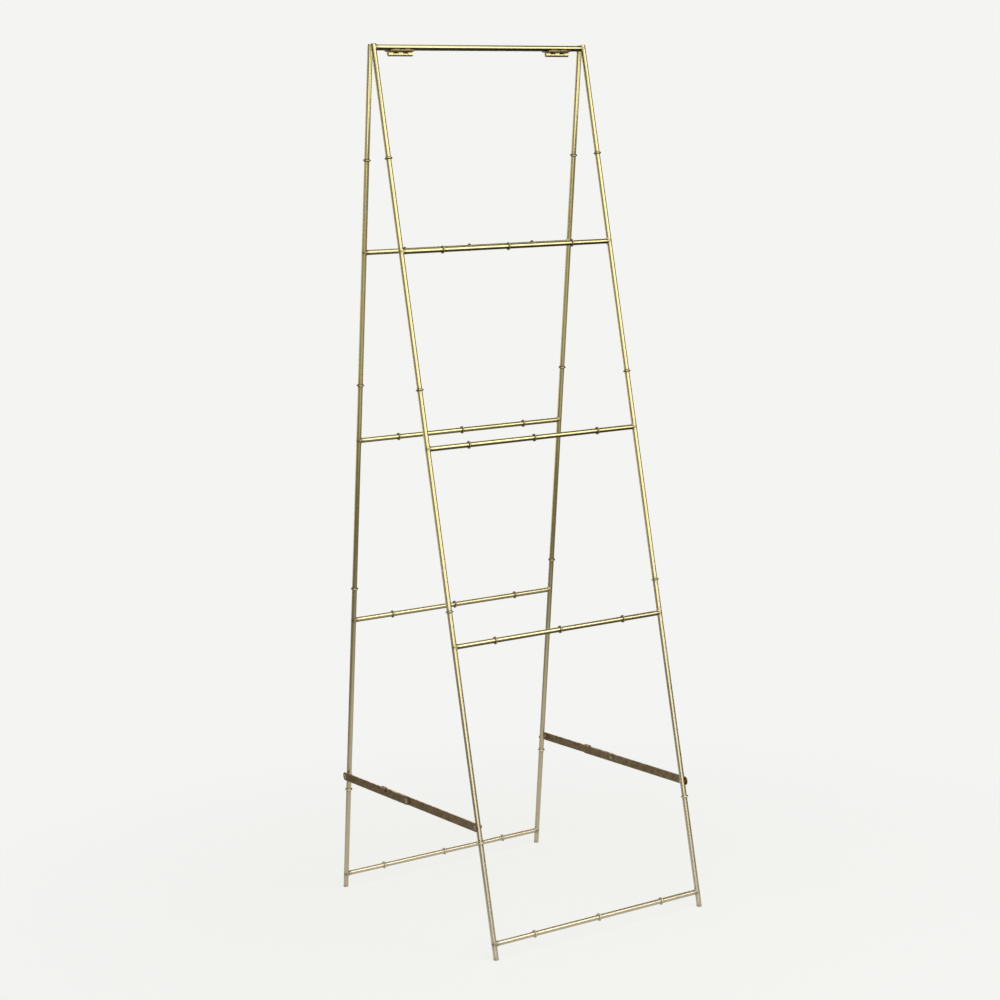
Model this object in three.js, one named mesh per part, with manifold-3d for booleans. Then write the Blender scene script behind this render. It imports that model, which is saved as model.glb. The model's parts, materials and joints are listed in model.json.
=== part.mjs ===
// A folding A-frame quilt rack in round steel tube with bamboo-style rings.
// Two ladder frames hang from a pair of butt hinges under their top rails. A two-link folding
// stay on the outside of the legs holds them apart. Millimetres, +Z up, front towards -Y,
// rails along X, origin on the floor in the middle of the four feet.
import * as THREE from 'three';
import { mergeVertices } from 'three/addons/utils/BufferGeometryUtils.js';
import Module from 'manifold-3d';

const wasm = await Module();
wasm.setup();

// ---------------------------------------------------------------- driving dimensions

// What neighbouring pieces keep between their faces.
const GAP = 0.3;

// Tube, legs and rails. Stations are distances along a leg.
const TUBE_RADIUS = 4.75;
const TUBE_WALL = 1.2;
const LEG_SPACING = 457;            // left leg axis to right leg axis
const LEG_LENGTH = 1640;            // top rail axis to floor
const LEG_TOP_REACH = 4.9;          // leg tube above the top rail axis
const FIRST_RAIL_DROP = 369;        // top rail to the upper rail
const RAIL_PITCH = 355.5;           // between the three hanging rails
const BOTTOM_RAIL_RISE = 28;        // floor to the bottom rail
const OPEN_ANGLE = 19;              // degrees between the frames when the rack stands

// Bamboo-style rings.
const RING_HEIGHT = 2.55;           // how far a ring stands out of its tube
const RING_WIDTH = 3.2;
const RING_CREST_DROP = 0.9;        // ring edge below ring crest
const RING_ABOVE_RAIL = [168.5, 106.5, 63.5, 181.5]; // each leg ring above the rail under it
const RAIL_RING_OFFSET = 142;       // outer rail rings from the rail's middle
const FOLDED_RING_GAP = 1.8;        // between facing rings when the rack is shut

// Leg ends.
const CAP_DOME = 1.6;
const CAP_STEM = 8;
const GLIDE_HEIGHT = 4;
const GLIDE_STEM = 14;

// Butt hinges under the top rails.
const HINGE_INSET = 57.5;           // leg axis to the hinge's middle
const HINGE_LENGTH = 51;
const KNUCKLES = 5;
const BARREL_RADIUS = 3.75;
const PIN_RADIUS = 1.5;
const PIN_HEAD_RADIUS = 2.7;
const PIN_HEAD_HEIGHT = 1.1;
const LEAF_THICKNESS = 2;
const LEAF_WIDTH = 13;              // hinge axis to the leaf's outer edge
const WEB_WIDTH = 2;                // leaf material that rolls into its own knuckles

// Folding stays of flat bar on the outside of the legs.
const STAY_RISE = 238;              // floor to the stay's leg pivots
const BAR_WIDTH = 16;
const BAR_THICKNESS = 2;
const BAR_END_REACH = 7;            // bar past the rivet's centre
const BAR_END_ROUNDING = 6.5;
const STOP_REACH = 92;              // front link past the elbow
const STOP_LENGTH = 15;             // hooked tab at that end
const STOP_HOOK_DROP = 9;           // hook down the rear link's outer face
const RIVET_RADIUS = 2.4;
const RIVET_HEAD_RADIUS = 4.2;
const RIVET_HEAD_HEIGHT = 1.5;
const RIVET_TAIL_RADIUS = 3.2;
const RIVET_TAIL_HEIGHT = 1.2;
const WASHER_RADIUS = 6;

const TUBE_SIDES = 12;

// ---------------------------------------------------------------- what follows from them

const HALF_ANGLE = THREE.MathUtils.degToRad(OPEN_ANGLE / 2);
const LEG_X = LEG_SPACING / 2;
const BORE_RADIUS = TUBE_RADIUS - TUBE_WALL;
const RING_RADIUS = TUBE_RADIUS + RING_HEIGHT;

// The hinge axis runs below the top rails by the leaf and half the barrel.
const HINGE_DROP = TUBE_RADIUS + GAP + LEAF_THICKNESS + BARREL_RADIUS;

// The legs stand off the hinge axis so that the rings clear each other when the rack is shut
// and the leg tops clear each other when it is open.
const TOP_REACH = LEG_TOP_REACH + GAP + CAP_DOME;
const SHUT_OFFSET = RING_RADIUS + FOLDED_RING_GAP / 2;
const OPEN_OFFSET = TUBE_RADIUS + (HINGE_DROP + TOP_REACH) * Math.tan(HALF_ANGLE) + GAP / 2;
const LEG_OFFSET = Math.max(SHUT_OFFSET, OPEN_OFFSET);

// In a frame's own axes the hinge axis is at 0, so stations turn into heights below it.
const FOOT_Z = HINGE_DROP - LEG_LENGTH;
const BOTTOM_RAIL_Z = FOOT_Z + BOTTOM_RAIL_RISE;
const STAY_Z = FOOT_Z + STAY_RISE;
const HANGING_RAIL_Z = [0, 1, 2].map((i) => HINGE_DROP - FIRST_RAIL_DROP - i * RAIL_PITCH);
const RING_Z = [...HANGING_RAIL_Z, BOTTOM_RAIL_Z].map((z, i) => z + RING_ABOVE_RAIL[i]);

// The hinge axis stands where the feet meet the floor, and the stay pivots follow from it.
const HINGE_Z = -FOOT_Z * Math.cos(HALF_ANGLE) - LEG_OFFSET * Math.sin(HALF_ANGLE);
const PIVOT_Y = LEG_OFFSET * Math.cos(HALF_ANGLE) - STAY_Z * Math.sin(HALF_ANGLE);
const PIVOT_Z = HINGE_Z + LEG_OFFSET * Math.sin(HALF_ANGLE) + STAY_Z * Math.cos(HALF_ANGLE);

// Layers outwards from the legs: front link and washer, then rear link, then the stop's hook.
const LEG_FACE_X = LEG_X + TUBE_RADIUS;
const INNER_LAYER_X = LEG_FACE_X + GAP;
const OUTER_LAYER_X = INNER_LAYER_X + BAR_THICKNESS + GAP;
const HOOK_LAYER_X = OUTER_LAYER_X + BAR_THICKNESS + GAP;
const RIVET_HOLE_RADIUS = RIVET_RADIUS + GAP;

// ---------------------------------------------------------------- materials

function metal(name, colour, roughness) {
  return new THREE.MeshStandardMaterial({ name, color: colour, roughness, metalness: 1 });
}

const BRASS_TUBE = metal('brass_tube', 0xb5a66b, 0.35);
const BRASS_RING = metal('brass_ring', 0xc2b27a, 0.3);
const HINGE_BRASS = metal('hinge_brass', 0x9c8a4e, 0.4);
const BRONZE_BAR = metal('bronze_bar', 0x6a5740, 0.5);
const RIVET_STEEL = metal('rivet_steel', 0xc9bfa6, 0.35);
const GLIDE_PLASTIC = new THREE.MeshStandardMaterial({
  name: 'glide_plastic', color: 0xa89b70, roughness: 0.6, metalness: 0,
});

// ---------------------------------------------------------------- solids and booleans

// A closed geometry as a manifold-3d solid.
function toSolid(geometry) {
  const bare = geometry.clone();
  bare.deleteAttribute('normal');
  bare.deleteAttribute('uv');
  const merged = mergeVertices(bare, 1e-4);
  const index = merged.index.array;
  const triangles = [];
  for (let i = 0; i < index.length; i += 3) {
    const [a, b, c] = [index[i], index[i + 1], index[i + 2]];
    if (a !== b && b !== c && c !== a) triangles.push(a, b, c);
  }
  const mesh = new wasm.Mesh({
    numProp: 3,
    vertProperties: new Float32Array(merged.attributes.position.array),
    triVerts: new Uint32Array(triangles),
  });
  return new wasm.Manifold(mesh);
}

function toGeometry(solid) {
  const mesh = solid.getMesh();
  const geometry = new THREE.BufferGeometry();
  geometry.setAttribute('position', new THREE.BufferAttribute(mesh.vertProperties, 3));
  geometry.setIndex(new THREE.BufferAttribute(mesh.triVerts, 1));
  geometry.computeVertexNormals();
  return geometry;
}

// Joins the first list, then cuts the second from it.
function build(added, cut = []) {
  let solid = toSolid(added[0]);
  for (const geometry of added.slice(1)) solid = solid.add(toSolid(geometry));
  for (const geometry of cut) solid = solid.subtract(toSolid(geometry));
  return toGeometry(solid);
}

// A profile of [radius, height] pairs turned about Z.
function turned(profile) {
  const points = profile.map(([radius, height]) => new THREE.Vector2(radius, height));
  return new THREE.LatheGeometry(points, TUBE_SIDES).rotateX(Math.PI / 2);
}

// The same turned about X, heights running towards +X.
function turnedAlongX(profile) {
  return turned(profile).rotateY(Math.PI / 2);
}

function disc(radius, low, high) {
  return turnedAlongX([[0, low], [radius, low], [radius, high], [0, high]]);
}

function box(x, y, z) {
  const [size, middle] = [(range) => range[1] - range[0], (range) => (range[0] + range[1]) / 2];
  return new THREE.BoxGeometry(size(x), size(y), size(z)).translate(middle(x), middle(y), middle(z));
}

// Lengths measured outwards from the rack's middle plane, as an X range on one side.
function outward(side, near, far) {
  return side > 0 ? [near, far] : [-far, -near];
}

// ---------------------------------------------------------------- frame pieces

// The crested edge of a ring, as [radius, height] pairs going up.
function ringCrest(middle) {
  const edge = RING_RADIUS - RING_CREST_DROP;
  return [
    [edge, middle - RING_WIDTH / 2],
    [RING_RADIUS, middle - RING_WIDTH / 6],
    [RING_RADIUS, middle + RING_WIDTH / 6],
    [edge, middle + RING_WIDTH / 2],
  ];
}

// A leg tube in place, with a cross hole for its stay rivet.
function legTube(side, depth) {
  const top = HINGE_DROP + LEG_TOP_REACH;
  const bottom = FOOT_Z + GLIDE_HEIGHT + GAP;
  const tube = turned([
    [BORE_RADIUS, bottom], [TUBE_RADIUS, bottom], [TUBE_RADIUS, top], [BORE_RADIUS, top],
    [BORE_RADIUS, bottom],
  ]);
  const hole = disc(RIVET_HOLE_RADIUS, -2 * TUBE_RADIUS, 2 * TUBE_RADIUS).translate(0, 0, STAY_Z);
  return build([tube], [hole]).translate(side * LEG_X, depth, 0);
}

// A rail tube between the legs, its ends coped around them. Ring positions are from its middle.
function railTube(z, depth, rings) {
  const crests = rings.flatMap((x) => {
    const crest = ringCrest(x);
    return [[TUBE_RADIUS, crest[0][1]], ...crest, [TUBE_RADIUS, crest[3][1]]];
  });
  const tube = turnedAlongX([
    [BORE_RADIUS, -LEG_X], [TUBE_RADIUS, -LEG_X], ...crests, [TUBE_RADIUS, LEG_X],
    [BORE_RADIUS, LEG_X], [BORE_RADIUS, -LEG_X],
  ]);
  const cope = TUBE_RADIUS + GAP;
  const copes = [-1, 1].map((side) => turned([
    [0, -4 * cope], [cope, -4 * cope], [cope, 4 * cope], [0, 4 * cope],
  ]).translate(side * LEG_X, 0, 0));
  return build([tube], copes).translate(0, depth, z);
}

function legRing(z, side, depth) {
  const inner = TUBE_RADIUS + GAP;
  const crest = ringCrest(0);
  const ring = turned([
    [inner, crest[0][1]], ...crest, [inner, crest[3][1]], [inner, crest[0][1]],
  ]);
  return ring.translate(side * LEG_X, depth, z);
}

// A domed cap whose stem fits the leg's bore.
function topCap(side, depth) {
  const seat = HINGE_DROP + LEG_TOP_REACH + GAP;
  const stem = BORE_RADIUS - GAP;
  return turned([
    [0, seat - CAP_STEM], [stem, seat - CAP_STEM], [stem, seat], [TUBE_RADIUS, seat],
    [TUBE_RADIUS, seat + CAP_DOME / 4], [TUBE_RADIUS * 0.72, seat + CAP_DOME * 0.8],
    [0, seat + CAP_DOME],
  ]).translate(side * LEG_X, depth, 0);
}

// A foot glide, cut level so that it stands flat when the rack is open.
function footGlide(side, depth, tilt) {
  const stem = BORE_RADIUS - GAP;
  const seat = FOOT_Z + GLIDE_HEIGHT;
  const blank = turned([
    [0, FOOT_Z - GLIDE_HEIGHT], [TUBE_RADIUS, FOOT_Z - GLIDE_HEIGHT], [TUBE_RADIUS, seat],
    [stem, seat], [stem, seat + GLIDE_STEM], [0, seat + GLIDE_STEM],
  ]);
  const half = 4 * TUBE_RADIUS;
  const belowFloor = box([-half, half], [-half, half], [-2 * half, 0])
    .rotateX(-tilt).translate(0, 0, FOOT_Z);
  return build([blank], [belowFloor]).translate(side * LEG_X, depth, 0);
}

// ---------------------------------------------------------------- hinges

// Each knuckle's X range, counted from the hinge's own middle.
function knuckleRange(i) {
  const pitch = HINGE_LENGTH / KNUCKLES;
  const start = -HINGE_LENGTH / 2 + i * pitch;
  return [start + GAP / 2, start + pitch - GAP / 2];
}

// A leaf that lies under one top rail and rolls into every second knuckle.
function hingeLeaf(depthSign, firstKnuckle) {
  const top = BARREL_RADIUS + LEAF_THICKNESS;
  const inner = top * Math.tan(HALF_ANGLE) + GAP / Math.cos(HALF_ANGLE);
  const span = [-HINGE_LENGTH / 2, HINGE_LENGTH / 2];
  const across = (near, far) => (depthSign > 0 ? [near, far] : [-far, -near]);
  const added = [box(span, across(inner, LEAF_WIDTH), [BARREL_RADIUS, top])];
  const cut = [];
  for (let i = 0; i < KNUCKLES; i += 1) {
    const range = knuckleRange(i);
    if (i % 2 === firstKnuckle) {
      added.push(disc(BARREL_RADIUS, ...range));
      added.push(box(range, across(inner, inner + WEB_WIDTH), [BARREL_RADIUS / 3, top]));
    } else {
      cut.push(disc(BARREL_RADIUS + GAP, range[0] - GAP, range[1] + GAP));
    }
  }
  cut.push(disc(PIN_RADIUS + GAP, -HINGE_LENGTH, HINGE_LENGTH));
  return build(added, cut);
}

function hingePin() {
  const end = HINGE_LENGTH / 2 + GAP / 2;
  const tip = end + PIN_HEAD_HEIGHT;
  return turnedAlongX([
    [0, -tip], [PIN_HEAD_RADIUS * 0.7, -tip], [PIN_HEAD_RADIUS, -end - PIN_HEAD_HEIGHT / 2],
    [PIN_HEAD_RADIUS, -end], [PIN_RADIUS, -end], [PIN_RADIUS, end], [PIN_HEAD_RADIUS, end],
    [PIN_HEAD_RADIUS, end + PIN_HEAD_HEIGHT / 2], [PIN_HEAD_RADIUS * 0.7, tip], [0, tip],
  ]);
}

// ---------------------------------------------------------------- stays

// A flat bar in the YZ plane. Its ends are rounded by the two radii given.
function flatBar(side, layer, [start, end], [startRounding, endRounding], holes) {
  const half = BAR_WIDTH / 2;
  const shape = new THREE.Shape();
  shape.absarc(start + startRounding, half - startRounding, startRounding, Math.PI / 2, Math.PI);
  shape.absarc(start + startRounding, startRounding - half, startRounding, Math.PI, Math.PI * 1.5);
  shape.absarc(end - endRounding, endRounding - half, endRounding, Math.PI * 1.5, Math.PI * 2);
  shape.absarc(end - endRounding, half - endRounding, endRounding, 0, Math.PI / 2);
  const options = { depth: BAR_THICKNESS, bevelEnabled: false, curveSegments: 4 };
  const toYZ = new THREE.Matrix4().makeBasis(
    new THREE.Vector3(0, 1, 0), new THREE.Vector3(0, 0, 1), new THREE.Vector3(1, 0, 0),
  );
  const [low, high] = outward(side, layer, layer + BAR_THICKNESS);
  const bar = new THREE.ExtrudeGeometry(shape, options).applyMatrix4(toYZ).translate(low, 0, 0);
  const cuts = holes.map((y) => disc(RIVET_HOLE_RADIUS, low - 1, high + 1).translate(0, y, 0));
  return { bar, cuts };
}

function rearLink(side) {
  const ends = [-BAR_END_REACH, PIVOT_Y + BAR_END_REACH];
  const roundings = [BAR_END_ROUNDING, BAR_END_ROUNDING];
  const { bar, cuts } = flatBar(side, OUTER_LAYER_X, ends, roundings, [0, PIVOT_Y]);
  return build([bar], cuts).translate(0, 0, PIVOT_Z);
}

// The front link runs on past the elbow and hooks over the rear link's top edge.
function frontLink(side) {
  const ends = [-PIVOT_Y - BAR_END_REACH, STOP_REACH];
  const roundings = [BAR_END_ROUNDING, 1];
  const { bar, cuts } = flatBar(side, INNER_LAYER_X, ends, roundings, [-PIVOT_Y, 0]);
  const tab = [STOP_REACH - STOP_LENGTH, STOP_REACH];
  const under = BAR_WIDTH / 2 + GAP;
  const over = under + BAR_THICKNESS;
  const hookEnd = HOOK_LAYER_X + BAR_THICKNESS;
  const ear = box(outward(side, INNER_LAYER_X, INNER_LAYER_X + BAR_THICKNESS), tab, [0, over]);
  const bridge = box(outward(side, INNER_LAYER_X, hookEnd), tab, [under, over]);
  const hook = box(outward(side, HOOK_LAYER_X, hookEnd), tab, [over - STOP_HOOK_DROP, over]);
  return build([bar, ear, bridge, hook], cuts).translate(0, 0, PIVOT_Z);
}

// A rivet along X. Distances run outwards from the middle plane, and a zero tail is left off.
function rivet(side, y, tailFace, headFace, headHeight, tailHeight) {
  const dome = headHeight > 0
    ? [[RIVET_HEAD_RADIUS, headFace], [RIVET_HEAD_RADIUS * 0.75, headFace + headHeight * 0.75],
      [0, headFace + headHeight]]
    : [[0, headFace]];
  const tail = tailHeight > 0
    ? [[0, tailFace - tailHeight], [RIVET_TAIL_RADIUS * 0.7, tailFace - tailHeight],
      [RIVET_TAIL_RADIUS, tailFace]]
    : [[0, tailFace]];
  const profile = [...tail, [RIVET_RADIUS, tailFace], [RIVET_RADIUS, headFace], ...dome];
  const along = turnedAlongX(profile);
  if (side < 0) along.rotateZ(Math.PI);
  return along.translate(0, y, PIVOT_Z);
}

function spacerWasher(side) {
  const [low, high] = outward(side, INNER_LAYER_X, INNER_LAYER_X + BAR_THICKNESS);
  const blank = disc(WASHER_RADIUS, low, high);
  const hole = disc(RIVET_HOLE_RADIUS, low - 1, high + 1);
  return build([blank], [hole]).translate(0, PIVOT_Y, PIVOT_Z);
}

// ---------------------------------------------------------------- assembly

const rack = new THREE.Group();
rack.name = 'folding_quilt_rack';

function add(group, name, geometry, material) {
  const mesh = new THREE.Mesh(geometry, material);
  mesh.name = name;
  group.add(mesh);
}

const SIDES = [['left', -1], ['right', 1]];
const FRAMES = [['front', -1], ['back', 1]];
const LEG_INNER_FACE_X = LEG_X - TUBE_RADIUS - GAP;

for (const [frameName, frameSign] of FRAMES) {
  const depth = frameSign * LEG_OFFSET;
  const tilt = frameSign * HALF_ANGLE;
  const frame = new THREE.Group();
  frame.position.set(0, 0, HINGE_Z);
  frame.rotation.x = tilt;
  rack.add(frame);

  for (const [sideName, side] of SIDES) {
    const corner = `${frameName}_${sideName}`;
    add(frame, `${corner}_leg`, legTube(side, depth), BRASS_TUBE);
    add(frame, `${corner}_top_cap`, topCap(side, depth), BRASS_TUBE);
    add(frame, `${corner}_foot_glide`, footGlide(side, depth, tilt), GLIDE_PLASTIC);
    RING_Z.forEach((z, i) => {
      add(frame, `${corner}_leg_ring_${i + 1}`, legRing(z, side, depth), BRASS_RING);
    });
    const leaf = hingeLeaf(frameSign, frameSign < 0 ? 0 : 1);
    leaf.translate(side * (LEG_X - HINGE_INSET), 0, 0);
    add(frame, `${sideName}_hinge_${frameName}_leaf`, leaf, HINGE_BRASS);
  }

  const ringed = [-RAIL_RING_OFFSET, 0, RAIL_RING_OFFSET];
  add(frame, `${frameName}_top_rail`, railTube(HINGE_DROP, depth, []), BRASS_TUBE);
  ['upper', 'middle', 'lower'].forEach((place, i) => {
    add(frame, `${frameName}_${place}_rail`, railTube(HANGING_RAIL_Z[i], depth, ringed), BRASS_TUBE);
  });
  add(frame, `${frameName}_bottom_rail`, railTube(BOTTOM_RAIL_Z, depth, ringed), BRASS_TUBE);
}

for (const [sideName, side] of SIDES) {
  const pin = hingePin().translate(side * (LEG_X - HINGE_INSET), 0, HINGE_Z);
  add(rack, `${sideName}_hinge_pin`, pin, HINGE_BRASS);
  add(rack, `${sideName}_stay_front_link`, frontLink(side), BRONZE_BAR);
  add(rack, `${sideName}_stay_rear_link`, rearLink(side), BRONZE_BAR);
  add(rack, `${sideName}_stay_spacer_washer`, spacerWasher(side), RIVET_STEEL);

  const frontHead = INNER_LAYER_X + BAR_THICKNESS + GAP;
  const rearHead = OUTER_LAYER_X + BAR_THICKNESS + GAP;
  const heads = [RIVET_HEAD_HEIGHT, RIVET_TAIL_HEIGHT];
  const frontRivet = rivet(side, -PIVOT_Y, LEG_INNER_FACE_X, frontHead, ...heads);
  add(rack, `${sideName}_stay_front_rivet`, frontRivet, RIVET_STEEL);
  const backRivet = rivet(side, PIVOT_Y, LEG_INNER_FACE_X, rearHead, ...heads);
  add(rack, `${sideName}_stay_back_rivet`, backRivet, RIVET_STEEL);

  // The elbow rivet is in two halves, one in each link, because the links part there.
  const elbowHead = rivet(side, 0, OUTER_LAYER_X, rearHead, RIVET_HEAD_HEIGHT, 0);
  add(rack, `${sideName}_stay_elbow_rivet_head`, elbowHead, RIVET_STEEL);
  const tailEnd = INNER_LAYER_X + BAR_THICKNESS;
  const elbowTail = rivet(side, 0, INNER_LAYER_X - GAP, tailEnd, 0, RIVET_TAIL_HEIGHT);
  add(rack, `${sideName}_stay_elbow_rivet_tail`, elbowTail, RIVET_STEEL);
}

export default rack;
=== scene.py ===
"""Looks for the folding quilt rack: smooth brass tubes, rings, hinges and bronze stays.

Metres, in the CAD model's own frame. Places and outer sizes are read from the CAD model's nodes and
joints. What can't be read there, such as walls, edge roundings and weld beads, has a size here.
"""

import json
import math

import bmesh
import bpy
from mathutils import Matrix, Vector, noise

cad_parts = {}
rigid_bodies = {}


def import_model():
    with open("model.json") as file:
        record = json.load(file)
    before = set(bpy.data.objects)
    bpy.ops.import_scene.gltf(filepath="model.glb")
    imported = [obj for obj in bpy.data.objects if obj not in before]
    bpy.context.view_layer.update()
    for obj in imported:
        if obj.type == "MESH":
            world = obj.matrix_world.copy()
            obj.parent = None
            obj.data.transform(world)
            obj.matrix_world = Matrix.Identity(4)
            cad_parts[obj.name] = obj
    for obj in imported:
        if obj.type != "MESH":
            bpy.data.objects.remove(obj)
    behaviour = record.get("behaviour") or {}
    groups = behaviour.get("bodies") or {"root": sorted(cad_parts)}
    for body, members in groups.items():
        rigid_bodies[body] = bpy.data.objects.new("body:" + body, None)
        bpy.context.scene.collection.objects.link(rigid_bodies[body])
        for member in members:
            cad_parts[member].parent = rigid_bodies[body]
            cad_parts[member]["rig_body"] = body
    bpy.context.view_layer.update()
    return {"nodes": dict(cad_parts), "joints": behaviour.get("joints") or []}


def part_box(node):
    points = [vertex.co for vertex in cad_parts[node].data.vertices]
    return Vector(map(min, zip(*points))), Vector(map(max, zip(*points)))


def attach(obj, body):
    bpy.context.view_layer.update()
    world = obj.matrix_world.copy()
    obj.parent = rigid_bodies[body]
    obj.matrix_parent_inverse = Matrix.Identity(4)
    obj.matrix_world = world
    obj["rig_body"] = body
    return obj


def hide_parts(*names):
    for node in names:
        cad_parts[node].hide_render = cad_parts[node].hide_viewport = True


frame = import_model()

MM = 0.001
SIDES = (("left", -1), ("right", 1))
FRAMES = (("front", -1), ("back", 1))
HANGING = ("upper", "middle", "lower", "bottom")

SHARP_ANGLE = math.radians(38)  # edges sharper than this are kept crisp
ROUND = 48                      # points around a tube
SMALL_ROUND = 32                # points around a rivet, a washer or a hinge pin
TUBE_WALL = 1.2 * MM
TUBE_END_ROUNDING = 0.35 * MM
CAP_EDGE = 0.5 * MM
CAP_GAP = 0.08 * MM             # between a leg's end and its cap
GLIDE_EDGE = 0.3 * MM           # rounding under the leg's end
GLIDE_GAP = 0.1 * MM
GLIDE_FOOT_ROUNDING = 0.5 * MM
RAIL_INTO_LEG = 0.05 * MM       # how far a rail's end reaches into the leg's skin
RING_WIDTH = 3.2 * MM
RING_SIDE_HEIGHT = 0.95 * MM    # straight side of a ring below its round crest
RING_BRAZE = 0.7 * MM           # braze fillet at a ring's foot
RING_SUNK = 0.3 * MM            # how far a ring's inside lies within the tube's wall
WELD_LEG = 1.9 * MM             # weld bead along the rail and along the leg
WELD_CROWN = 0.3 * MM
WELD_DEPTH = 1.0 * MM           # how far a bead's root reaches into the metal
WELD_TOE_SUNK = 0.08 * MM       # how far a bead's edges sink into the metal
WELD_RIPPLES = 9
BAR_EDGE_ROUNDING = 0.3 * MM    # broken edges of the stays' bars
STOP_BEND_RADIUS = 1.0 * MM     # inside of the stop tab's bends
STOP_RELIEF = 0.9 * MM          # relief notch beside the stop tab
KNUCKLES = 5
KNUCKLE_SPLIT = 0.45 * MM
KNUCKLE_CLEARANCE = 0.4 * MM    # plate edge to the other leaf's knuckles
LEAF_CORNER = 2.0 * MM
LEAF_EDGE_ROUNDING = 0.22 * MM
LEAF_BEND = 0.3 * MM            # inside of the bend where a leaf turns down to the barrel
LEAF_BEAD = 14 * MM             # weld bead between a leaf and its rail
LEAF_BEAD_RADIUS = 1.3 * MM
LEAF_BEAD_OFFSET = 3.1 * MM
PIN_RADIUS = 1.5 * MM
PIN_GAP = 0.1 * MM              # between an end knuckle and the pin's head
BAR_END_ROUNDING = 6.5 * MM
STOP_LENGTH = 15 * MM
STOP_HOOK_DROP = 9 * MM
STOP_CLEARANCE = 0.3 * MM       # between the tab and the top edge of the rear link
SQUARE_END_ROUNDING = 1.0 * MM  # lower corner of the front link's square end
RIVET_RADIUS = 2.4 * MM
RIVET_TAIL_RADIUS = 3.2 * MM
RIVET_TAIL_EDGE = 0.8 * MM
WASHER_EDGE = 0.4 * MM
CORNER_TARNISH = 2.5 * MM       # how fast tarnish fades away from a ring or a rail
LEAST_SHADE_BELOW = 0.25              # below this height rings and rail undersides get the least painted shade
FULL_SHADE_ABOVE = 0.55               # and above this they get the full painted shade


# ---------------------------------------------------------------- the frame's own axes

def joint(name):
    return next(j for j in frame["joints"] if j["name"] == name)


HINGE_POINT = Vector(joint("fold")["pos_m"])
HALF_ANGLE = math.radians(joint("fold")["range_deg"][1]) / 2


def frame_axes(sign):
    """A ladder frame's axes: X along its rails, Z along its legs, origin on the hinge axis."""
    return Matrix.Translation(HINGE_POINT) @ Matrix.Rotation(sign * HALF_ANGLE, 4, "X")


def node_box(node, axes):
    """Lowest and highest corner of a CAD node, measured in the given axes."""
    inverse = axes.inverted()
    points = [inverse @ v.co for v in frame["nodes"][node].data.vertices]
    low = Vector([min(p[i] for p in points) for i in range(3)])
    high = Vector([max(p[i] for p in points) for i in range(3)])
    return low, high


def node_middle(node, axes):
    low, high = node_box(node, axes)
    return (low + high) / 2


# ---------------------------------------------------------------- mesh building

class Shape:
    """Points, faces and, for each point, a wear value that also carries painted shade and
    highlight: -1 dark, from tarnish and from painted shade on rail undersides and ring flanks; 0
    plain; 1 bright, from rubbing and, on ring crests, partly a painted highlight.
    """

    def __init__(self, points, faces, wear_and_shade):
        self.points = points
        self.faces = faces
        self.wear_and_shade = wear_and_shade

    def placed(self, matrix):
        return Shape([matrix @ p for p in self.points], self.faces, self.wear_and_shade)


def skin(rows, wear_and_shade=None, loop=False, ends=False):
    """Quads over rows of points, each row closed. loop also joins the last row to the first."""
    count = len(rows[0])
    points = [p for row in rows for p in row]
    faces = []
    for i in range(len(rows) if loop else len(rows) - 1):
        here, there = i * count, (i + 1) % len(rows) * count
        for j in range(count):
            k = (j + 1) % count
            faces.append((here + j, here + k, there + k, there + j))
    if ends:
        faces.append(tuple(range(count)))
        faces.append(tuple(range(len(points) - count, len(points))))
    wear_and_shade = wear_and_shade or [0.0] * len(rows)
    return Shape(points, faces, [w for w in wear_and_shade for _ in range(count)])


def circle(radius, height, count):
    """Points around Z."""
    turns = [2 * math.pi * i / count for i in range(count)]
    return [Vector((radius * math.cos(a), radius * math.sin(a), height)) for a in turns]


def lathe(profile, count=ROUND, wear_and_shade=None, loop=True):
    """A [radius, height] profile turned about Z, closed on itself unless it ends on the axis."""
    return skin([circle(r, h, count) for r, h in profile], wear_and_shade, loop=loop)


def arc(centre, radius, start, end, steps):
    """Points of an arc in a plane, angles in degrees."""
    angles = [math.radians(start + (end - start) * i / steps) for i in range(steps + 1)]
    return [(centre[0] + radius * math.cos(a), centre[1] + radius * math.sin(a)) for a in angles]


def slab(outline, low, high):
    """A flat outline of (y, z) points, drawn out along X."""
    rows = [[Vector((x, y, z)) for y, z in outline] for x in (low, high)]
    return skin(rows, ends=True)


ALONG_X = Matrix.Rotation(math.pi / 2, 4, "Y")
PLAN_TO_FLAT = Matrix(((0, 1, 0, 0), (0, 0, 1, 0), (1, 0, 0, 0), (0, 0, 0, 1)))


def united(shapes):
    """One closed shape from several that touch or overlap."""
    made = []
    for shape in shapes:
        mesh = bpy.data.meshes.new("part")
        mesh.from_pydata(shape.points, [], shape.faces)
        bm = bmesh.new()
        bm.from_mesh(mesh)
        bmesh.ops.recalc_face_normals(bm, faces=bm.faces)
        bm.to_mesh(mesh)
        bm.free()
        made.append(bpy.data.objects.new("part", mesh))
        bpy.context.scene.collection.objects.link(made[-1])
    for other in made[1:]:
        union = made[0].modifiers.new("union", "BOOLEAN")
        union.operation = "UNION"
        union.solver = "EXACT"
        union.object = other
    graph = bpy.context.evaluated_depsgraph_get()
    mesh = bpy.data.meshes.new_from_object(made[0].evaluated_get(graph))
    points = [v.co.copy() for v in mesh.vertices]
    faces = [tuple(p.vertices) for p in mesh.polygons]
    for part in made:
        bpy.data.objects.remove(part)
    return Shape(points, faces, [0.0] * len(points))


def round_edges(made, name, width, angle, harden=False):
    rounding = made.modifiers.new(name, "BEVEL")
    rounding.width = width
    rounding.segments = 3
    rounding.limit_method = "ANGLE"
    rounding.angle_limit = angle
    rounding.harden_normals = harden


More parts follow.
